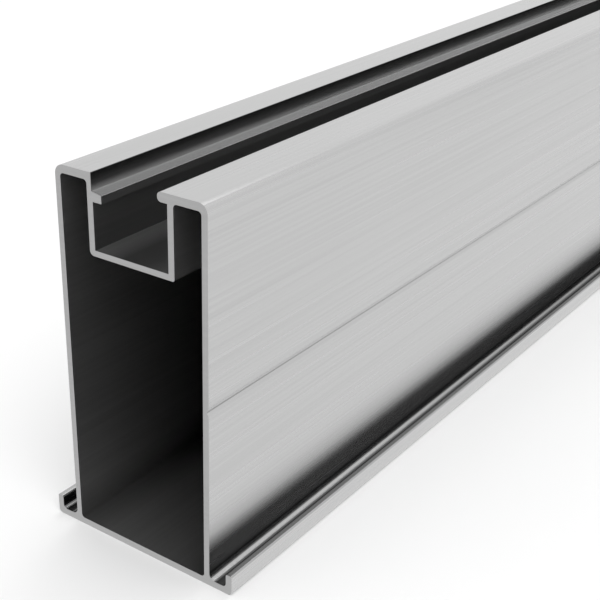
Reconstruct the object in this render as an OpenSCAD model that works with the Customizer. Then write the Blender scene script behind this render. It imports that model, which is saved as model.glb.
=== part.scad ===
// Mounting rail: one length of hollow aluminium extrusion with a snap-in channel along its top.
// Millimetres. The length runs along Y, the section lies in X (width) and Z (height), underside at Z = 0.

/* [Rail] */
// Cut length of the piece of stock
length = 1200; // [300:10:2200]
// Width of the hollow body over its two side walls
body_w = 36; // [34:0.5:44]
// Overall height
body_h = 80; // [70:0.5:100]

/* [Walls] */
// Thickness of the two side walls
wall_t = 1.3; // [1.1:0.1:2]
// Thickness of the bottom plate and of the feet
base_t = 1.5; // [1.2:0.1:2.2]
// Thickness of the two top slabs
top_t = 1.6; // [1.5:0.1:2.2]

/* [Feet] */
// How far each foot stands out from its side wall
foot_reach = 5.5; // [4.5:0.1:9]
// Height of the upturned lips above the underside
lip_h = 4.6; // [4.2:0.1:8]
// Thickness of the upturned lips
lip_t = 1.4; // [1.1:0.1:1.8]

/* [Channel] */
// Clear width between the channel walls
channel_w = 17.8; // [16:0.1:19]
// How far the channel stands to the right of the centre line
channel_shift = 0.2; // [0:0.1:0.6]
// Depth of the channel floor below the top
channel_depth = 15.1; // [13:0.1:20]
// Thickness of the channel walls
channel_wall_t = 1.35; // [1.2:0.05:1.6]
// Thickness of the channel floor
channel_floor_t = 1.2; // [1:0.1:1.8]
// How far the right slab overhangs the channel
overhang = 2.25; // [1.5:0.05:3]
// Thickness of the overhang's rounded nose
nose_t = 1.9; // [1.8:0.05:2.6]

/* [Snap tooth] */
// How far the tooth stands out from the left channel wall
tooth_reach = 2.15; // [1.5:0.05:2.8]
// Depth of the tooth's upper tip edge below the top
tooth_depth = 4; // [3.2:0.1:5]
// Height of the tooth's upright tip face
tooth_tip_h = 1.55; // [1:0.05:2.4]
// How far the tooth's upper face falls from its root to its tip
tooth_fall = 0.4; // [0.1:0.05:0.9]
// Radius of the curve at the root of the tooth
root_r = 0.25; // [0.2:0.05:1.2]
// How far the edge of the left slab stands back from the channel wall face
mouth_back = 0.27; // [0.05:0.01:0.35]

/* [Drill line] */
// Height of the deepest line of the marking groove on the right side wall
groove_h = 39.35; // [20:0.05:55]
// Height of the groove's long upper flank
groove_up = 1.3; // [0.6:0.05:1.6]
// Height of the groove's short lower flank
groove_down = 0.55; // [0.3:0.05:1.2]
// Depth of the marking groove
groove_d = 0.4; // [0.2:0.05:0.5]

/* [Edges] */
// Radius of the two top corners
corner_r = 2; // [0.3:0.1:2.4]
// Radius of the lower outer corners of the feet
foot_corner_r = 1; // [0.3:0.1:1.1]
// Radius of the rounded edge of the overhang
overhang_r = 0.85; // [0.3:0.05:0.9]
// Radius of the tooth's two tip edges
edge_r = 0.15; // [0.1:0.05:0.45]
// Fillet radius where a foot meets its side wall
foot_root_r = 1.4; // [0.4:0.1:1.6]
// Fillet radius where a foot meets its lip
foot_fillet_r = 0.9; // [0.4:0.1:1]
// Fillet radius in the inner corners
inner_r = 0.8; // [0.3:0.1:1]
// Fillet radius in the corners of the channel floor
channel_r = 0.15; // [0.1:0.05:0.8]
// Radius of the channel's lower left outer corner
channel_corner_r = 1; // [0.4:0.1:1.2]
// Radius of the channel's lower right outer corner
channel_edge_r = 0.5; // [0.2:0.1:1]

/* [Hidden] */
$fn = 48;
bite = 0.2;
half_w = body_w / 2;
foot_x = half_w + foot_reach;
channel_l = channel_shift - channel_w / 2;
channel_r_x = channel_shift + channel_w / 2;
floor_z = body_h - channel_depth;
slab_z = body_h - top_t;
overhang_x = channel_r_x - overhang;
mouth_x = channel_l - mouth_back;
tooth_x = channel_l + tooth_reach;
tooth_z = body_h - tooth_depth;
root_z = tooth_z + tooth_fall;
tooth_low_z = tooth_z - tooth_tip_h;
slope = atan2(tooth_fall, tooth_x - mouth_x);
nose_z = body_h - nose_t;
lip_r = 0.25 * lip_t;
block_l = channel_l - channel_wall_t;
block_r = channel_r_x + channel_wall_t;
block_z = floor_z - channel_floor_t;

// Square of side s + bite at a corner, reaching s along (dx, dz) and a little behind the corner
module corner_square(x, z, s, dx, dz) {
    translate([x + (dx < 0 ? -s : -bite), z + (dz < 0 ? -s : -bite)])
        square(s + bite);
}

// The sliver between a corner and the arc of radius r that rounds it, towards the directions (dx, dz)
module corner_sliver(x, z, r, dx, dz) {
    difference() {
        corner_square(x, z, r, dx, dz);
        translate([x + dx * r, z + dz * r])
            circle(r = r);
    }
}

// The same sliver for a corner whose sides leave it at the angles a and b
module slant_sliver(x, z, r, a, b) {
    half = (b - a) / 2;
    mid = (a + b) / 2;
    run = r / tan(half);
    back = bite / sin(half);
    middle = r / sin(half);
    translate([x, z])
        difference() {
            polygon([
                [-back * cos(mid), -back * sin(mid)],
                [run * cos(a) + bite * sin(a), run * sin(a) - bite * cos(a)],
                [middle * cos(mid), middle * sin(mid)],
                [run * cos(b) - bite * sin(b), run * sin(b) + bite * cos(b)]
            ]);
            translate([middle * cos(mid), middle * sin(mid)])
                circle(r = r);
        }
}

// One foot with its upturned lip, on the side given by sx (1 right, -1 left)
module foot(sx) {
    difference() {
        union() {
            translate([sx > 0 ? half_w - wall_t : -foot_x, 0])
                square([foot_reach + wall_t, base_t]);
            translate([sx > 0 ? foot_x - lip_t : -foot_x, 0])
                square([lip_t, lip_h]);
            corner_sliver(sx * half_w, base_t, foot_root_r, sx, 1);
            corner_sliver(sx * (foot_x - lip_t), base_t, foot_fillet_r, -sx, 1);
        }
        corner_sliver(sx * foot_x, 0, foot_corner_r, -sx, 1);
        corner_sliver(sx * foot_x, lip_h, lip_r, -sx, -1);
        corner_sliver(sx * (foot_x - lip_t), lip_h, lip_r, sx, -1);
    }
}

// Solid outline of the section before it is hollowed
module outline() {
    difference() {
        translate([-half_w, 0])
            square([body_w, body_h]);
        corner_sliver(-half_w, body_h, corner_r, 1, -1);
        corner_sliver(half_w, body_h, corner_r, -1, -1);
    }
    foot(1);
    foot(-1);
}

// Block that leaves the walls and the floor of the channel standing in the hollow
module channel_block() {
    difference() {
        translate([block_l, block_z])
            square([block_r - block_l, body_h - block_z]);
        corner_sliver(block_l, block_z, channel_corner_r, 1, 1);
        corner_sliver(block_r, block_z, channel_edge_r, -1, 1);
    }
    corner_sliver(block_l, slab_z, inner_r, -1, -1);
    corner_sliver(block_r, slab_z, inner_r, 1, -1);
}

// The closed hollow that runs around the channel
module hollow() {
    difference() {
        translate([-half_w + wall_t, base_t])
            square([body_w - 2 * wall_t, slab_z - base_t]);
        corner_sliver(-half_w + wall_t, base_t, inner_r, 1, 1);
        corner_sliver(half_w - wall_t, base_t, inner_r, -1, 1);
        corner_sliver(-half_w + wall_t, slab_z, inner_r, 1, -1);
        corner_sliver(half_w - wall_t, slab_z, inner_r, -1, -1);
        channel_block();
    }
}

// The open channel: mouth, snap tooth, rounded overhang and floor
module channel_space() {
    difference() {
        polygon([
            [mouth_x, body_h + 1],
            [mouth_x, root_z],
            [tooth_x, tooth_z],
            [tooth_x, tooth_low_z],
            [channel_l, tooth_low_z],
            [channel_l, floor_z],
            [channel_r_x, floor_z],
            [channel_r_x, nose_z],
            [overhang_x, nose_z],
            [overhang_x, body_h + 1]
        ]);
        slant_sliver(mouth_x, root_z, root_r, -slope, 90);
        corner_sliver(channel_l, floor_z, channel_r, 1, 1);
        corner_sliver(channel_r_x, floor_z, channel_r, -1, 1);
        corner_sliver(channel_r_x, nose_z, channel_r, -1, -1);
    }
    corner_sliver(overhang_x, body_h, overhang_r, 1, -1);
    corner_sliver(overhang_x, nose_z, overhang_r, 1, 1);
    slant_sliver(tooth_x, tooth_z, edge_r, 180 - slope, 270);
    corner_sliver(tooth_x, tooth_low_z, edge_r, -1, 1);
}

// Shallow groove along the right side wall, with a long upper and a short lower flank
module drill_groove() {
    polygon([
        [half_w + bite, groove_h - groove_down],
        [half_w, groove_h - groove_down],
        [half_w - groove_d, groove_h],
        [half_w, groove_h + groove_up],
        [half_w + bite, groove_h + groove_up]
    ]);
}

// Full cross-section
module section() {
    difference() {
        outline();
        hollow();
        channel_space();
        drill_groove();
    }
}

// The rail, cut square at both ends
module rail() {
    color([0.80, 0.81, 0.82])
        rotate([90, 0, 0])
            linear_extrude(height = length, center = true)
                section();
}

rail();
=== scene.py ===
"""Looks of a length of aluminium mounting rail: swept section, drawn and sawn metal, plain studio."""
import logging
import math
from dataclasses import dataclass, field
from enum import Enum
from typing import Any, Optional, Sequence, Union

import bmesh
import bpy
from mathutils import Matrix, Vector


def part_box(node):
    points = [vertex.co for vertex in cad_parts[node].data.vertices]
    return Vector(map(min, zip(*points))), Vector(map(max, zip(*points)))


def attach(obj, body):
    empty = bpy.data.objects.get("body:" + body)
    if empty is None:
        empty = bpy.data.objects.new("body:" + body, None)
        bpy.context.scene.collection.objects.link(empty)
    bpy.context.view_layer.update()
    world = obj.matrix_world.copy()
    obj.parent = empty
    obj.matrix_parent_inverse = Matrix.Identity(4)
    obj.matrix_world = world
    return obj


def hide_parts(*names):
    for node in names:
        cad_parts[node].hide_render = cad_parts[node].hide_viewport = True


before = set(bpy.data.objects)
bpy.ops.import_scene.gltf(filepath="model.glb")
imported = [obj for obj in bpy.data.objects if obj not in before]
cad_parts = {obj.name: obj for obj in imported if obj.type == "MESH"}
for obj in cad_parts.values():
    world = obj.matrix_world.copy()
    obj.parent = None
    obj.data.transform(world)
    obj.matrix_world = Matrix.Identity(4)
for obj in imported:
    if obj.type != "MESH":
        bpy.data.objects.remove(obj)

log = logging.getLogger("rail")

MM: float = 0.001
SKIN: float = 0.1 * MM
WELD: float = 0.001 * MM

Point = tuple[float, float]
Corner = tuple[float, float, float]
Place = tuple[float, float, float]
Colour = tuple[float, float, float, float]


class Ray(Enum):
    """Facts about a light path that the backdrop and the floor answer to."""

    CAMERA = "Is Camera Ray"
    GLOSSY = "Is Glossy Ray"
    TRANSMISSION = "Is Transmission Ray"
    DEPTH = "Ray Depth"


class Blend(Enum):
    """Ways in which two colours are laid over each other."""

    MIX = "MIX"
    MULTIPLY = "MULTIPLY"


class Value:
    """A number that varies over a surface: the output socket of a node, with arithmetic."""

    def __init__(self, book: "NodeBook", socket: bpy.types.NodeSocket) -> None:
        """Keeps where the number comes from.

        Args:
            book: the node tree.
            socket: the output socket in that tree.
        """
        self.book = book
        self.socket = socket

    def _math(self, operation: str, first: Any, second: Any = None) -> "Value":
        """Adds a Math node.

        Args:
            operation: Blender's name of the operation.
            first: value of the first input.
            second: value of the second input, if the operation has one.

        Returns:
            The node's result.
        """
        inputs = {0: first} if second is None else {0: first, 1: second}
        return self.book.value("ShaderNodeMath", {"operation": operation}, inputs)

    def __add__(self, other: Any) -> "Value":
        """Sum."""
        return self._math("ADD", self, other)

    def __radd__(self, other: Any) -> "Value":
        """Sum with a plain number on the left."""
        return self._math("ADD", other, self)

    def __sub__(self, other: Any) -> "Value":
        """Difference."""
        return self._math("SUBTRACT", self, other)

    def __rsub__(self, other: Any) -> "Value":
        """Difference from a plain number."""
        return self._math("SUBTRACT", other, self)

    def __mul__(self, other: Any) -> "Value":
        """Product."""
        return self._math("MULTIPLY", self, other)

    def __rmul__(self, other: Any) -> "Value":
        """Product with a plain number on the left."""
        return self._math("MULTIPLY", other, self)

    def __abs__(self) -> "Value":
        """Size without sign."""
        return self._math("ABSOLUTE", self)

    def above(self, limit: Any) -> "Value":
        """One where the number is over the limit, else zero."""
        return self._math("GREATER_THAN", self, limit)

    def below(self, limit: Any) -> "Value":
        """One where the number is under the limit, else zero."""
        return self._math("LESS_THAN", self, limit)

    def most(self, other: Any) -> "Value":
        """The larger of two numbers."""
        return self._math("MAXIMUM", self, other)

    def rise(self, start: float, end: float) -> "Value":
        """Climbs evenly from zero to one and stays level outside.

        Args:
            start: number at which the result is zero.
            end: number at which the result is one; it may be the smaller of the two.

        Returns:
            The climb.
        """
        inputs = {"Value": self, "From Min": start, "From Max": end}
        return self.book.value("ShaderNodeMapRange", {"clamp": True}, inputs)


class NodeBook:
    """Writes nodes into one material's or world's tree."""

    def __init__(self, tree: bpy.types.NodeTree) -> None:
        """Empties the tree and keeps it.

        Args:
            tree: the material's or world's tree.
        """
        self.tree = tree
        tree.nodes.clear()

    def add(
        self,
        kind: str,
        settings: Optional[dict[str, Any]] = None,
        inputs: Optional[dict[Any, Any]] = None,
    ) -> bpy.types.Node:
        """Adds one node of any type.

        Args:
            kind: the node's type.
            settings: properties that are set first.
            inputs: values or links by the socket's name or number.

        Returns:
            The new node.
        """
        node = self.tree.nodes.new(kind)
        for name, setting in (settings or {}).items():
            setattr(node, name, setting)
        for name, value in (inputs or {}).items():
            socket = node.inputs[name]
            if isinstance(value, Value):
                self.tree.links.new(value.socket, socket)
            elif isinstance(value, bpy.types.NodeSocket):
                self.tree.links.new(value, socket)
            else:
                socket.default_value = value
        return node

    def value(
        self,
        kind: str,
        settings: Optional[dict[str, Any]] = None,
        inputs: Optional[dict[Any, Any]] = None,
        output: Union[str, int] = 0,
    ) -> Value:
        """Adds one node and wraps one of its outputs.

        Args:
            kind: the node's type.
            settings: properties that are set first.
            inputs: values or links by the socket's name or number.
            output: name or number of the output.

        Returns:
            The output as a number.
        """
        return Value(self, self.add(kind, settings, inputs).outputs[output])

    def ray(self, kind: Ray) -> Value:
        """Reads one fact about the light path.

        Args:
            kind: the fact.

        Returns:
            One or zero for a kind of ray, or the number of bounces.
        """
        return self.value("ShaderNodeLightPath", output=kind.value)

    def mix(self, factor: Any, first: Any, second: Any, blend: Blend = Blend.MIX) -> Value:
        """Mixes two colours.

        Args:
            factor: share of the second colour.
            first: first colour.
            second: second colour.
            blend: how the second is laid over the first.

        Returns:
            The mixed colour.
        """
        settings = {"data_type": "RGBA", "blend_type": blend.value}
        return self.value("ShaderNodeMix", settings, {0: factor, 6: first, 7: second}, 2)


@dataclass
class RailSection:
    """Cross-section of the rail: X is the width, Z the height, in metres."""

    half_w: float = 18.0 * MM
    height: float = 80.0 * MM
    wall: float = 1.3 * MM
    base: float = 1.5 * MM
    top: float = 1.6 * MM
    foot_reach: float = 5.5 * MM
    lip_h: float = 4.6 * MM
    lip: float = 1.4 * MM
    channel_w: float = 17.8 * MM
    channel_shift: float = 0.2 * MM
    channel_depth: float = 15.1 * MM
    channel_wall: float = 1.35 * MM
    channel_floor: float = 1.2 * MM
    overhang: float = 2.25 * MM
    nose: float = 1.9 * MM
    tooth_reach: float = 2.15 * MM
    tooth_depth: float = 4.0 * MM
    tooth_tip: float = 1.55 * MM
    tooth_fall: float = 0.4 * MM
    mouth_back: float = 0.27 * MM
    groove_h: float = 39.35 * MM
    groove_up: float = 1.3 * MM
    groove_down: float = 0.55 * MM
    groove_d: float = 0.4 * MM
    corner_r: float = 2.0 * MM
    foot_corner_r: float = 1.0 * MM
    overhang_r: float = 0.85 * MM
    edge_r: float = 0.04 * MM
    root_r: float = 0.04 * MM
    foot_root_r: float = 1.4 * MM
    foot_fillet_r: float = 0.9 * MM
    lip_r: float = 0.35 * MM
    inner_r: float = 0.8 * MM
    channel_r: float = 0.04 * MM
    channel_corner_r: float = 1.0 * MM
    channel_edge_r: float = 0.5 * MM
    break_r: float = 0.12 * MM
    steps: int = 8

    @property
    def channel_left(self) -> float:
        """Face of the channel's left wall."""
        return self.channel_shift - self.channel_w / 2

    @property
    def channel_right(self) -> float:
        """Face of the channel's right wall."""
        return self.channel_shift + self.channel_w / 2

    @property
    def slab_z(self) -> float:
        """Underside of the top slabs."""
        return self.height - self.top

    @property
    def floor_z(self) -> float:
        """Upper face of the channel floor."""
        return self.height - self.channel_depth

    @property
    def mouth_x(self) -> float:
        """Edge of the left slab at the channel's mouth."""
        return self.channel_left - self.mouth_back

    @property
    def foot_x(self) -> float:
        """Outer face of the right lip."""
        return self.half_w + self.foot_reach

    @property
    def fillet_z(self) -> float:
        """Where a side wall runs into the fillet of its foot."""
        return self.base + self.foot_root_r

    @property
    def lip_root(self) -> float:
        """Middle of the fillet at the foot of the right lip."""
        return self.foot_x - self.lip - self.foot_fillet_r / 2

    @property
    def tooth_z(self) -> float:
        """Upper tip edge of the snap tooth."""
        return self.height - self.tooth_depth

    def skin_corners(self) -> list[Corner]:
        """Draws the outer outline, feet and channel included.

        Returns:
            The outline's corners in order, each with its radius.
        """
        foot_x = self.foot_x
        lip_x = foot_x - self.lip
        tooth_x = self.channel_left + self.tooth_reach
        low_z = self.tooth_z - self.tooth_tip
        over_x = self.channel_right - self.overhang
        nose_z = self.height - self.nose
        return [
            (-foot_x, 0.0, self.foot_corner_r),
            (foot_x, 0.0, self.foot_corner_r),
            (foot_x, self.lip_h, self.lip_r),
            (lip_x, self.lip_h, self.lip_r),
            (lip_x, self.base, self.foot_fillet_r),
            (self.half_w, self.base, self.foot_root_r),
            (self.half_w, self.groove_h - self.groove_down, self.break_r),
            (self.half_w - self.groove_d, self.groove_h, self.break_r),
            (self.half_w, self.groove_h + self.groove_up, self.break_r),
            (self.half_w, self.height, self.corner_r),
            (over_x, self.height, self.overhang_r),
            (over_x, nose_z, self.overhang_r),
            (self.channel_right, nose_z, self.channel_r),
            (self.channel_right, self.floor_z, self.channel_r),
            (self.channel_left, self.floor_z, self.channel_r),
            (self.channel_left, low_z, self.break_r),
            (tooth_x, low_z, self.edge_r),
            (tooth_x, self.tooth_z, self.edge_r),
            (self.mouth_x, self.tooth_z + self.tooth_fall, self.root_r),
            (self.mouth_x, self.height, self.break_r),
            (-self.half_w, self.height, self.corner_r),
            (-self.half_w, self.base, self.foot_root_r),
            (-lip_x, self.base, self.foot_fillet_r),
            (-lip_x, self.lip_h, self.lip_r),
            (-foot_x, self.lip_h, self.lip_r),
        ]

    def hollow_corners(self) -> list[Corner]:
        """Draws the closed hollow around the channel.

        Returns:
            The hollow's corners in order, each with its radius.
        """
        inner_x = self.half_w - self.wall
        block_l = self.channel_left - self.channel_wall
        block_r = self.channel_right + self.channel_wall
        block_z = self.floor_z - self.channel_floor
        return [
            (-inner_x, self.base, self.inner_r),
            (inner_x, self.base, self.inner_r),
            (inner_x, self.slab_z, self.inner_r),
            (block_r, self.slab_z, self.inner_r),
            (block_r, block_z, self.channel_edge_r),
            (block_l, block_z, self.channel_corner_r),
            (block_l, self.slab_z, self.inner_r),
            (-inner_x, self.slab_z, self.inner_r),
        ]

    def rounded(self, corners: Sequence[Corner]) -> list[Point]:
        """Rounds every corner of an outline with an arc.

        Args:
            corners: the outline's corners in order, each with its radius.

        Returns:
            Points along the rounded outline.
        """
        points: list[Point] = []
        count = len(corners)
        for index, (x, z, radius) in enumerate(corners):
            here = Vector((x, z))
            back = Vector(corners[index - 1][:2]) - here
            ahead = Vector(corners[(index + 1) % count][:2]) - here
            back.normalize()
            ahead.normalize()
            half = back.angle(ahead) / 2
            reach = radius / math.tan(half)
            middle = here + (back + ahead).normalized() * (radius / math.sin(half))
            start = here + back * reach - middle
            end = here + ahead * reach - middle
            turn = math.atan2(start.x * end.y - start.y * end.x, start.dot(end))
            parts = max(2, round(self.steps * abs(turn) / (math.pi / 2)))
            for step in range(parts + 1):
                spoke = Matrix.Rotation(turn * step / parts, 2) @ start
                points.append(tuple(middle + spoke))
        return points

    def loops(self) -> list[list[Point]]:
        """Rounded outlines of the skin and of the hollow."""
        return [self.rounded(self.skin_corners()), self.rounded(self.hollow_corners())]


class SweepTree:
    """Geometry Nodes tree that fills a flat section and draws it out to a length."""

    def __init__(self, name: str) -> None:
        """Builds the tree with its named inputs.

        Args:
            name: name of the node group.
        """
        self.tree = bpy.data.node_groups.new(name, "GeometryNodeTree")
        face = self.tree.interface
        face.new_socket("Geometry", in_out="OUTPUT", socket_type="NodeSocketGeometry")
        face.new_socket("Section", in_out="INPUT", socket_type="NodeSocketGeometry")
        self.length = face.new_socket("Length", in_out="INPUT", socket_type="NodeSocketFloat")
        self.finish = face.new_socket("Finish", in_out="INPUT", socket_type="NodeSocketMaterial")
        self._build()

    def _node(self, kind: str, **settings: Any) -> bpy.types.Node:
        """Adds a node and sets its properties.

        Args:
            kind: the node's type.
            settings: properties by name.

        Returns:
            The new node.
        """
        node = self.tree.nodes.new(kind)
        for name, setting in settings.items():
            setattr(node, name, setting)
        return node

    def _build(self) -> None:
        """Lays out the nodes: fill, draw out, close the far end, stand the length along Y."""
        link = self.tree.links.new
        given = self._node("NodeGroupInput")
        outline = self._node("GeometryNodeMeshToCurve")
        fill = self._node("GeometryNodeFillCurve", mode="TRIANGLES")
        offset = self._node("ShaderNodeCombineXYZ")
        draw = self._node("GeometryNodeExtrudeMesh", mode="FACES")
        draw.inputs["Individual"].default_value = False
        draw.inputs["Offset Scale"].default_value = 1.0
        flip = self._node("GeometryNodeFlipFaces")
        join = self._node("GeometryNodeJoinGeometry")
        weld = self._node("GeometryNodeMergeByDistance")
        weld.inputs["Distance"].default_value = WELD
        half = self._node("ShaderNodeMath", operation="MULTIPLY")
        half.inputs[1].default_value = 0.5
        centre = self._node("ShaderNodeCombineXYZ")
        stand = self._node("GeometryNodeTransform")
        stand.inputs["Rotation"].default_value = (math.pi / 2, 0.0, 0.0)
        realize = self._node("GeometryNodeRealizeInstances")
        dress = self._node("GeometryNodeSetMaterial")
        out = self._node("NodeGroupOutput")

        link(given.outputs["Section"], outline.inputs["Mesh"])
        link(outline.outputs["Curve"], fill.inputs["Curve"])
        link(fill.outputs["Mesh"], draw.inputs["Mesh"])
        link(given.outputs["Length"], offset.inputs["Z"])
        link(offset.outputs["Vector"], draw.inputs["Offset"])
        link(fill.outputs["Mesh"], flip.inputs["Mesh"])
        link(draw.outputs["Mesh"], join.inputs["Geometry"])
        link(flip.outputs["Mesh"], join.inputs["Geometry"])
        link(join.outputs["Geometry"], weld.inputs["Geometry"])
        link(given.outputs["Length"], half.inputs[0])
        link(half.outputs["Value"], centre.inputs["Y"])
        link(weld.outputs["Geometry"], stand.inputs["Geometry"])
        link(centre.outputs["Vector"], stand.inputs["Translation"])
        link(stand.outputs["Geometry"], realize.inputs["Geometry"])
        link(realize.outputs["Geometry"], dress.inputs["Geometry"])
        link(given.outputs["Finish"], dress.inputs["Material"])
        link(dress.outputs["Geometry"], out.inputs["Geometry"])

    def run(self, source: bpy.types.Object, length: float, finish: bpy.types.Material) -> bpy.types.Mesh:
        """Runs the tree on a flat section.

        Args:
            source: object whose edges are the section's outlines.
            length: length to draw out.
            finish: material of the swept piece.

        Returns:
            The swept piece as a plain mesh.
        """
        modifier = source.modifiers.new("sweep", "NODES")
        modifier.node_group = self.tree
        modifier[self.length.identifier] = length
        modifier[self.finish.identifier] = finish
        source.update_tag()
        graph = bpy.context.evaluated_depsgraph_get()
        graph.update()
        mesh = bpy.data.meshes.new_from_object(source.evaluated_get(graph))
        source.modifiers.remove(modifier)
        return mesh


@dataclass(frozen=True)
class Reach:
    """How far the painted shade takes to change, along the length and over the faces of the section."""

    hollow_way: float = 40.0 * MM
    far_start: float = 50.0 * MM
    far_end: float = 200.0 * MM
    right_start: float = 6.0 * MM
    right_end: float = 12.0 * MM
    floor_way: float = 7.0 * MM
    corner_way: float = 9.0 * MM
    wall_start: float = 17.5 * MM
    wall_end: float = 11.0 * MM
    feet_start: float = 9.0 * MM
    feet_end: float = 7.0 * MM
    over_line: float = 1.7 * MM
    under_line: float = 0.9 * MM
    fillet_span: float = 1.6 * MM


class Zones:
    """Masks of the rail's faces, read from the place in its section and along its length."""

    def __init__(
        self, book: NodeBook, place: bpy.types.NodeSocket, section: RailSection, half_length: float
    ) -> None:
        """Splits the place into its three coordinates.

        Args:
            book: the material's nodes.
            place: object coordinates.
            section: the rail's cross-section.
            half_length: half the rail's length, where the sawn ends lie.
        """
        self.reach = Reach()
        split = book.add("ShaderNodeSeparateXYZ", inputs={0: place})
        self.x, self.y, self.z = (Value(book, split.outputs[axis]) for axis in "XYZ")
        self.section = section
        self.half_length = half_length

    def ends(self) -> Value:
        """One on the two sawn end faces."""
        return abs(self.y).above(self.half_length - SKIN / 2)

    def depth(self) -> Value:
        """Climbs ever faster from zero at the two sawn ends to one some way in."""
        way = abs(self.y).rise(self.half_length, self.half_length - self.reach.hollow_way)
        return way * way

    def far_in(self) -> Value:
        """Climbs from zero some way from the two sawn ends to one further in."""
        start, end = self.reach.far_start, self.reach.far_end
        return abs(self.y).rise(self.half_length - start, self.half_length - end)

    def _within_channel(self) -> Value:
        """One between the middles of the channel's walls and above the middle of its floor."""
        s = self.section
        left = self.x.above(s.channel_left - s.channel_wall / 2)
        right = self.x.below(s.channel_right + s.channel_wall / 2)
        return left * right * self.z.above(s.floor_z - s.channel_floor / 2)

    def channel(self) -> Value:
        """One on the channel's left wall and floor, below the tooth's upper edge."""
        s = self.section
        left = self.x.below(s.channel_right - SKIN)
        return self._within_channel() * left * self.z.below(s.tooth_z - SKIN)

    def channel_low(self) -> Value:
        """Climbs from zero under the tooth to one at the floor, on the channel's left wall."""
        s = self.section
        wall = self._within_channel() * self.x.below(s.channel_left + SKIN)
        return wall * self.z.rise(s.tooth_z - s.tooth_tip, s.floor_z)

    def channel_right(self) -> Value:
        """Climbs towards the overhang, on the channel's right wall and under the overhang."""
        s = self.section
        right = self.x.above(s.channel_right - s.overhang) * self.z.below(s.height - s.nose + SKIN)
        climb = self.z.rise(s.floor_z + self.reach.right_start, s.floor_z + self.reach.right_end)
        return self._within_channel() * right * climb

    def channel_floor(self) -> Value:
        """One on the channel's floor."""
        return self._within_channel() * self.z.below(self.section.floor_z + SKIN)

    def across_floor(self) -> Value:
        """Climbs from zero at the channel's left wall to one some way off."""
        left = self.section.channel_left
        return self.x.rise(left, left + self.reach.floor_way)

    def mouth(self) -> Value:
        """Climbs ever faster from the tooth's root to the left slab, on the face between them."""
        s = self.section
        way = self.z.rise(s.tooth_z + s.tooth_fall, s.height)
        return abs(self.x - s.mouth_x).below(SKIN) * way * way

    def hollow(self) -> Value:
        """One on the faces of the closed hollow."""
        s = self.section
        inside = abs(self.x).below(s.half_w - s.wall / 2)
        level = self.z.above(s.base / 2) * self.z.below(s.height - s.top / 2)
        return inside * level * (1.0 - self._within_channel())

    def hollow_corners(self) -> Value:
        """Falls from one in the hollow's two lower corners to zero some way off."""
        s = self.section
        away = (s.half_w - s.wall - abs(self.x)) + (self.z - s.base)
        return self.hollow() * away.rise(self.reach.corner_way, 0.0)

    def _both_sides(self, inner: float, outer: float, low: float, high: float) -> Value:
        """One on both sides of the rail within a range of distances from the middle and a range of heights.

        Args:
            inner: least distance from the middle.
            outer: greatest distance from the middle.
            low: least height.
            high: greatest height.

        Returns:
            The mask.
        """
        wide = abs(self.x)
        return wide.above(inner) * wide.below(outer) * self.z.above(low) * self.z.below(high)

    def lower_walls(self) -> Value:
        """Climbs towards the feet, on the outside of the side walls."""
        s, start = self.section, self.reach.wall_start
        outside = self._both_sides(s.half_w - s.wall / 2, s.half_w + SKIN / 2, s.fillet_z, start)
        return outside * self.z.rise(start, self.reach.wall_end)

    def feet(self) -> Value:
        """One on the inside of the feet, from the lips to a little way up the side walls."""
        s, start = self.section, self.reach.feet_start
        inside = self._both_sides(s.half_w - s.wall / 2, s.lip_root, s.base / 2, start)
        return inside * self.z.rise(start, self.reach.feet_end)

    def foot_lines(self) -> Value:
        """Climbs to one along the lines where the side walls run into their fillets."""
        s, reach = self.section, self.reach
        low, high = s.fillet_z - reach.under_line, s.fillet_z + reach.over_line
        beside = self._both_sides(s.half_w - s.wall / 2, s.half_w + reach.fillet_span / 4, low, high)
        return beside * self.z.rise(high, s.fillet_z) * self.z.rise(low, s.fillet_z)

    def fillets(self) -> Value:
        """One on the fillets between the side walls and the feet."""
        s = self.section
        return self._both_sides(s.half_w, s.half_w + self.reach.fillet_span, s.base / 2, s.fillet_z)

    def troughs(self) -> Value:
        """One on the outer part of the feet's floors."""
        s = self.section
        inner = s.half_w + self.reach.fillet_span
        return self._both_sides(inner, s.lip_root, s.base / 2, s.base + s.foot_fillet_r / 2)

    def lips(self) -> Value:
        """One on the inside of the lips."""
        s = self.section
        low, high = s.base + s.foot_fillet_r / 2, s.lip_h - s.lip_r
        return self._both_sides(s.lip_root, s.foot_x - s.lip / 2, low, high)

    def crowns(self) -> Value:
        """One on the rounded tops of the lips."""
        s = self.section
        inner, outer = s.foot_x - s.lip - SKIN, s.foot_x + SKIN
        return self._both_sides(inner, outer, s.lip_h - s.lip_r, s.lip_h + SKIN)


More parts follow.
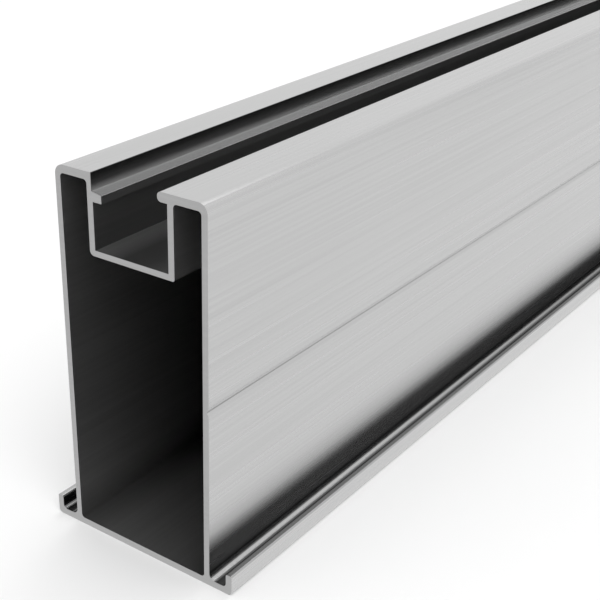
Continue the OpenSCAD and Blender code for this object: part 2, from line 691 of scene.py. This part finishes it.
@dataclass(frozen=True)
class PaintedShade:
    """How much shade is painted into each zone of the rail's colour, below its open skin: zero is none, one
    is black.
    """

    channel: float = 0.3
    channel_low: float = 0.5
    channel_right: float = 0.9
    channel_floor: float = 0.57
    mouth: float = 0.85
    hollow: float = 0.48
    hollow_corners: float = 0.4
    lower_walls: float = 0.2
    foot_lines: float = 0.76
    fillets: float = 0.08
    troughs: float = 0.75
    lips: float = 0.95
    crowns: float = 0.18
    far_in: float = 0.5

    def build(self, zones: Zones) -> Value:
        """Adds up the painted shade of the zones, and paints the channel, the mouth and the feet darker
        once more far from the ends.

        Args:
            zones: the rail's masks.

        Returns:
            The share of the brightness that is left at each place.
        """
        # painted shade: the channel, the mouth, the hollow and its corners, the lips, troughs and fillets,
        # and the base of the side walls are darkened in the colour where shade and dark reflections fall
        painted_dark = (
            zones.channel() * self.channel
            + zones.channel_low() * self.channel_low
            + zones.channel_right() * self.channel_right
            + zones.channel_floor() * zones.across_floor() * self.channel_floor
            + zones.mouth() * self.mouth
            + zones.hollow() * zones.depth() * self.hollow
            + zones.hollow_corners() * self.hollow_corners
            + zones.lower_walls() * self.lower_walls
            + zones.foot_lines() * self.foot_lines
            + zones.fillets() * self.fillets
            + zones.troughs() * self.troughs
            + zones.lips() * self.lips
            + zones.crowns() * self.crowns
        )
        # more painted shade in the channel, the mouth and the feet further in from the open sawn ends
        further = (zones.channel() + zones.mouth() + zones.feet()) * zones.far_in()
        return (1.0 - painted_dark) * (1.0 - further * self.far_in)


@dataclass(frozen=True)
class ExtrusionFinish:
    """Drawn aluminium: a satin skin with die lines along the length, with shade painted into the colour
    inside and near the feet, and sawn ends.
    """

    skin: Colour = (0.555, 0.555, 0.555, 1.0)
    sawn: Colour = (0.43, 0.43, 0.43, 1.0)
    # shade painted into the colour of the channel, the hollow and the feet
    painted_shade: PaintedShade = PaintedShade()
    metallic: float = 1.0
    inner_metallic: float = 0.94
    floor_metallic: float = 0.85
    skin_rough: float = 0.265
    inner_rough: float = 0.29
    line_rough: float = 0.08
    sawn_rough: float = 0.42
    mark_rough: float = 0.12
    fine_scale: float = 1400.0
    broad_scale: float = 126.0
    broad_share: float = 0.3
    line_stretch: float = 0.004
    cloud_scale: float = 22.0
    mark_scale: float = 1400.0
    mark_stretch: float = 0.05
    shade_base: float = 0.83
    shade_lines: float = 0.31
    shade_cloud: float = 0.03
    sawn_base: float = 0.9
    sawn_marks: float = 0.2
    relief_strength: float = 0.06
    relief_depth: float = 0.05 * MM

    def build(self, section: RailSection, half_length: float) -> bpy.types.Material:
        """Makes the material.

        Args:
            section: the rail's cross-section, for the shade painted on the inner faces.
            half_length: half the rail's length, where the sawn ends lie.

        Returns:
            The finished material.
        """
        material = bpy.data.materials.new("aluminium_extrusion")
        material.use_nodes = True
        book = NodeBook(material.node_tree)
        place = book.add("ShaderNodeTexCoord").outputs["Object"]
        zones = Zones(book, place, section, half_length)
        end = zones.ends()
        side = 1.0 - end

        drawn = self._stretched(book, place, (1.0, self.line_stretch, 1.0))
        bladed = self._stretched(book, place, (self.mark_stretch, 1.0, 1.0))
        fine = self._noise(book, drawn, self.fine_scale, 3.0)
        broad = self._noise(book, drawn, self.broad_scale, 2.0)
        cloud = self._noise(book, place, self.cloud_scale, 2.0)
        marks = self._noise(book, bladed, self.mark_scale, 2.0)
        lines = fine * (1.0 - self.broad_share) + broad * self.broad_share

        open_skin = self.shade_base + lines * self.shade_lines + cloud * self.shade_cloud
        # the skin's tone darkened by the painted shade
        shade = open_skin * self.painted_shade.build(zones)
        level = shade * side + (self.sawn_base + marks * self.sawn_marks) * end
        grey = book.value("ShaderNodeCombineColor", inputs={0: level, 1: level, 2: level})
        metal = book.mix(end, self.skin, self.sawn)
        colour = book.mix(1.0, metal, grey, Blend.MULTIPLY)

        inner = (zones.channel() + zones.hollow()) * side
        drawn_rough = (
            self.skin_rough
            + inner * (self.inner_rough - self.skin_rough)
            + (lines - 0.5) * self.line_rough
        )
        rough = drawn_rough * side + (self.sawn_rough + (marks - 0.5) * self.mark_rough) * end
        metallic = (
            self.metallic
            - inner * (self.metallic - self.inner_metallic)
            - zones.channel_floor() * side * (self.inner_metallic - self.floor_metallic)
        )
        relief = lines * side + marks * end
        bump = book.value(
            "ShaderNodeBump",
            inputs={"Strength": self.relief_strength, "Distance": self.relief_depth, "Height": relief},
        )
        shader = book.add(
            "ShaderNodeBsdfPrincipled",
            inputs={"Base Color": colour, "Metallic": metallic, "Roughness": rough, "Normal": bump},
        )
        book.add("ShaderNodeOutputMaterial", inputs={"Surface": shader.outputs[0]})
        return material

    @staticmethod
    def _stretched(book: NodeBook, place: bpy.types.NodeSocket, scale: Place) -> bpy.types.NodeSocket:
        """Draws a place out along an axis.

        Args:
            book: the material's nodes.
            place: object coordinates.
            scale: factor for each axis; a small one draws a texture out along it.

        Returns:
            The stretched place.
        """
        return book.add("ShaderNodeMapping", inputs={0: place, "Scale": scale}).outputs[0]

    @staticmethod
    def _noise(book: NodeBook, vector: bpy.types.NodeSocket, scale: float, detail: float) -> Value:
        """Adds one noise texture.

        Args:
            book: the material's nodes.
            vector: where the texture is read.
            scale: cells per metre.
            detail: octaves of finer noise.

        Returns:
            The noise, around one half.
        """
        inputs = {"Vector": vector, "Scale": scale, "Detail": detail, "Roughness": 0.55}
        return book.value("ShaderNodeTexNoise", inputs=inputs)


@dataclass
class Rail:
    """The one piece: a length of rail with its section swept along Y."""

    length: float
    section: RailSection = field(default_factory=RailSection)
    finish: ExtrusionFinish = field(default_factory=ExtrusionFinish)

    def _flat_section(self) -> bpy.types.Object:
        """Draws the section's outlines as edges in the XY plane.

        Returns:
            An object with nothing but those edges.
        """
        mesh = bpy.data.meshes.new("rail_section")
        points: list[Place] = []
        edges: list[tuple[int, int]] = []
        for loop in self.section.loops():
            first = len(points)
            count = len(loop)
            points.extend((x, z, 0.0) for x, z in loop)
            edges.extend((first + i, first + (i + 1) % count) for i in range(count))
        mesh.from_pydata(points, edges, [])
        flat = bpy.data.objects.new("rail_section", mesh)
        bpy.context.scene.collection.objects.link(flat)
        return flat

    def build(self) -> bpy.types.Object:
        """Sweeps the section and closes the piece.

        Returns:
            The rail's object, at the origin.
        """
        material = self.finish.build(self.section, self.length / 2)
        flat = self._flat_section()
        mesh = SweepTree("rail_sweep").run(flat, self.length, material)
        bpy.data.objects.remove(flat)
        mesh.name = "rail_body"
        work = bmesh.new()
        work.from_mesh(mesh)
        bmesh.ops.recalc_face_normals(work, faces=work.faces)
        work.to_mesh(mesh)
        work.free()
        rail = bpy.data.objects.new("rail_body", mesh)
        bpy.context.scene.collection.objects.link(rail)
        return rail

    def dress(self, rail: bpy.types.Object) -> None:
        """Ties the piece to the frame in place of its plain solid.

        Args:
            rail: the swept piece.
        """
        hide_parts("rail")
        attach(rail, "root")


@dataclass(frozen=True)
class PaperFinish:
    """White studio floor: shadowed around the rail, plain white far off and in reflections."""

    colour: Colour = (0.9, 0.9, 0.9, 1.0)
    grain_colour: Colour = (0.88, 0.88, 0.88, 1.0)
    grain_share: float = 0.02
    grain_scale: float = 30.0
    rough: float = 0.9
    white: Colour = (1.0, 1.0, 1.0, 1.0)
    dimmed: Colour = (0.7, 0.7, 0.7, 1.0)
    dimmed_after: float = 1.5
    white_from: float = 1.2
    white_to: float = 2.4

    def build(self) -> bpy.types.Material:
        """Makes the floor's material.

        Returns:
            The finished material.
        """
        material = bpy.data.materials.new("studio_paper")
        material.use_nodes = True
        book = NodeBook(material.node_tree)
        place = book.add("ShaderNodeTexCoord").outputs["Object"]
        grain_inputs = {"Vector": place, "Scale": self.grain_scale, "Detail": 2.0}
        grain = book.value("ShaderNodeTexNoise", inputs=grain_inputs)
        colour = book.mix(grain * self.grain_share, self.colour, self.grain_colour)
        paper = book.add("ShaderNodeBsdfPrincipled", inputs={"Base Color": colour, "Roughness": self.rough})
        deep = book.ray(Ray.DEPTH).above(self.dimmed_after)
        shine = book.mix(deep, self.white, self.dimmed)
        glow = book.add("ShaderNodeEmission", inputs={"Color": shine, "Strength": 1.0})
        away = book.value("ShaderNodeVectorMath", {"operation": "LENGTH"}, {0: place}, "Value")
        far = away.rise(self.white_from, self.white_to)
        plain = book.ray(Ray.GLOSSY).most(book.ray(Ray.CAMERA) * far)
        both = book.add("ShaderNodeMixShader", inputs={0: plain, 1: paper.outputs[0], 2: glow.outputs[0]})
        book.add("ShaderNodeOutputMaterial", inputs={"Surface": both.outputs[0]})
        return material


@dataclass(frozen=True)
class Lamp:
    """One soft square lamp."""

    name: str
    place: Place
    target: Place
    size: float
    power: float

    def build(self) -> None:
        """Hangs the lamp, facing its target and out of sight."""
        data = bpy.data.lights.new(self.name, "AREA")
        data.shape = "SQUARE"
        data.size = self.size
        data.energy = self.power
        lamp = bpy.data.objects.new(self.name, data)
        lamp.visible_camera = False
        lamp.location = self.place
        aim = Vector(self.target) - Vector(self.place)
        lamp.rotation_euler = aim.to_track_quat("-Z", "Y").to_euler()
        bpy.context.scene.collection.objects.link(lamp)


@dataclass
class Studio:
    """White surroundings, a pale floor and soft lamps."""

    floor_half: float = 6.0
    white: Colour = (1.0, 1.0, 1.0, 1.0)
    world_level: float = 0.9
    mirrored_level: float = 0.95
    dimmed_level: float = 0.7
    dimmed_after: float = 2.5
    paper: PaperFinish = PaperFinish()
    lamps: tuple[Lamp, ...] = (
        Lamp("key", (1.2, -1.6, 2.4), (0.0, -0.3, 0.0), size=2.0, power=30.0),
        Lamp("overhead", (-0.1, 0.024, 1.1), (0.018, -0.6, 0.08), size=0.5, power=1.2),
    )

    def build(self) -> None:
        """Makes the floor, the world and the lamps."""
        self._floor()
        self._world()
        for lamp in self.lamps:
            lamp.build()

    def _floor(self) -> None:
        """Lays a plain floor under the rail."""
        mesh = bpy.data.meshes.new("studio_floor")
        h = self.floor_half
        mesh.from_pydata([(-h, -h, 0), (h, -h, 0), (h, h, 0), (-h, h, 0)], [], [(0, 1, 2, 3)])
        mesh.materials.append(self.paper.build())
        floor = bpy.data.objects.new("studio_floor", mesh)
        bpy.context.scene.collection.objects.link(floor)

    def _world(self) -> None:
        """Sets a white background, a plain level of light, and dims what is mirrored more than once."""
        world = bpy.data.worlds.new("studio_white")
        bpy.context.scene.world = world
        world.use_nodes = True
        book = NodeBook(world.node_tree)
        seen = book.ray(Ray.CAMERA).most(book.ray(Ray.TRANSMISSION))
        level = (
            self.world_level
            + seen * (1.0 - self.world_level)
            + book.ray(Ray.GLOSSY) * (self.mirrored_level - self.world_level)
        )
        deep = book.ray(Ray.DEPTH).above(self.dimmed_after)
        strength = level * (1.0 - deep * (1.0 - self.dimmed_level))
        back = book.add("ShaderNodeBackground", inputs={"Color": self.white, "Strength": strength})
        book.add("ShaderNodeOutputWorld", inputs={"Surface": back.outputs[0]})


@dataclass(frozen=True)
class PhotoCamera:
    """Camera at the photograph's viewing angle, for a square picture."""

    azimuth: float = 37.96
    elevation: float = 27.54
    focal: float = 1186.1 / 600.0
    centre: Point = (219.7 / 600.0, 354.7 / 600.0)
    offset: Place = (-30.44 * MM, 35.58 * MM, 255.27 * MM)
    origin: Place = (-18.0 * MM, -600.0 * MM, 0.0)
    sensor: float = 36.0
    nearest: float = 0.01
    farthest: float = 50.0

    def build(self) -> None:
        """Makes the camera and hands it to the scene."""
        a, e = math.radians(self.azimuth), math.radians(self.elevation)
        back = Vector((math.sin(a) * math.cos(e), -math.cos(a) * math.cos(e), math.sin(e)))
        right = Vector((0.0, 0.0, 1.0)).cross(back).normalized()
        up = back.cross(right)
        data = bpy.data.cameras.new("photo_camera")
        data.sensor_width = self.sensor
        data.lens = self.focal * self.sensor
        data.shift_x = 0.5 - self.centre[0]
        data.shift_y = self.centre[1] - 0.5
        data.clip_start = self.nearest
        data.clip_end = self.farthest
        camera = bpy.data.objects.new("photo_camera", data)
        across, down, depth = self.offset
        place = Vector(self.origin) - right * across + up * down + back * depth
        turn = Matrix((right, up, back)).transposed()
        camera.matrix_world = Matrix.Translation(place) @ turn.to_4x4()
        bpy.context.scene.collection.objects.link(camera)
        bpy.context.scene.camera = camera


def main() -> None:
    """Builds the camera, the studio and the rail in order."""
    logging.basicConfig(level=logging.INFO, format="%(name)s: %(message)s")
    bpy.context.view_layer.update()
    bpy.context.scene.view_settings.view_transform = "Standard"
    PhotoCamera().build()
    Studio().build()
    log.info("camera and studio are set")
    low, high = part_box("rail")
    rail = Rail(length=high[1] - low[1])
    body = rail.build()
    rail.dress(body)
    log.info("rail swept: %d faces", len(body.data.polygons))


if __name__ == "__main__":
    main()
